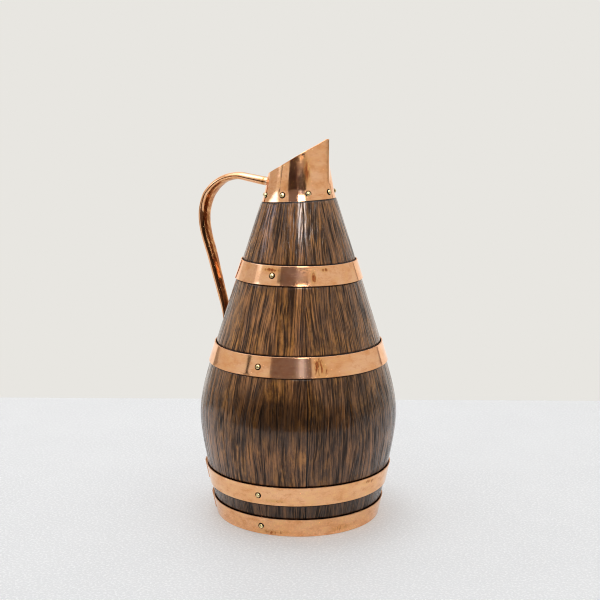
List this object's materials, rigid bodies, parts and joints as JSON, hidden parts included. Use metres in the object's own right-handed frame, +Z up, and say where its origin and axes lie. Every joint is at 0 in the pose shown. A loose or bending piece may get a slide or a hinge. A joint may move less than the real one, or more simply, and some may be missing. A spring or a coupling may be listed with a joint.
{
  "type": "coopered jug",
  "caption": "Pear-shaped coopered oak jug with copper hoops, a pinned copper collar drawn out to a pouring lip, and a hollow copper handle.",
  "frame": {"origin": "on the table, in the middle of the bounding box, which holds the handle, so the body's axis stands 9.2 mm towards +X of it", "axes": "+Z up along the body's axis, +X from the handle towards the pouring lip, +Y to the left of someone looking along +X"},
  "size_m": [0.2195, 0.2, 0.3807],
  "materials": {
    "oak": "dark stained oak, polished",
    "copper": "polished copper, lightly tarnished",
    "brass": "polished brass"
  },
  "bodies": {
    "root": {"stave_01": "oak", "stave_02": "oak", "stave_03": "oak", "stave_04": "oak", "stave_05": "oak", "stave_06": "oak", "stave_07": "oak", "stave_08": "oak", "stave_09": "oak", "stave_10": "oak", "stave_11": "oak", "stave_12": "oak", "stave_13": "oak", "stave_14": "oak", "bottom_board_01": "oak", "bottom_board_02": "oak", "bottom_board_03": "oak", "hoop_foot": "copper", "hoop_foot_pin_01": "brass", "hoop_foot_pin_02": "brass", "hoop_foot_rivet_01": "copper", "hoop_foot_rivet_02": "copper", "hoop_bilge": "copper", "hoop_bilge_pin_01": "brass", "hoop_bilge_pin_02": "brass", "hoop_bilge_rivet_01": "copper", "hoop_bilge_rivet_02": "copper", "hoop_shoulder": "copper", "hoop_shoulder_pin_01": "brass", "hoop_shoulder_pin_02": "brass", "hoop_shoulder_rivet_01": "copper", "hoop_shoulder_rivet_02": "copper", "hoop_neck": "copper", "hoop_neck_pin_01": "brass", "hoop_neck_pin_02": "brass", "hoop_neck_rivet_01": "copper", "hoop_neck_rivet_02": "copper", "spout_collar": "copper", "collar_pin_01": "brass", "collar_pin_02": "brass", "collar_pin_03": "brass", "collar_pin_04": "brass", "collar_pin_05": "brass", "collar_pin_06": "brass", "collar_pin_07": "brass", "collar_pin_08": "brass", "collar_pin_09": "brass", "handle": "copper", "handle_rivet_01": "copper", "handle_rivet_02": "copper"}
  },
  "joints": []
}
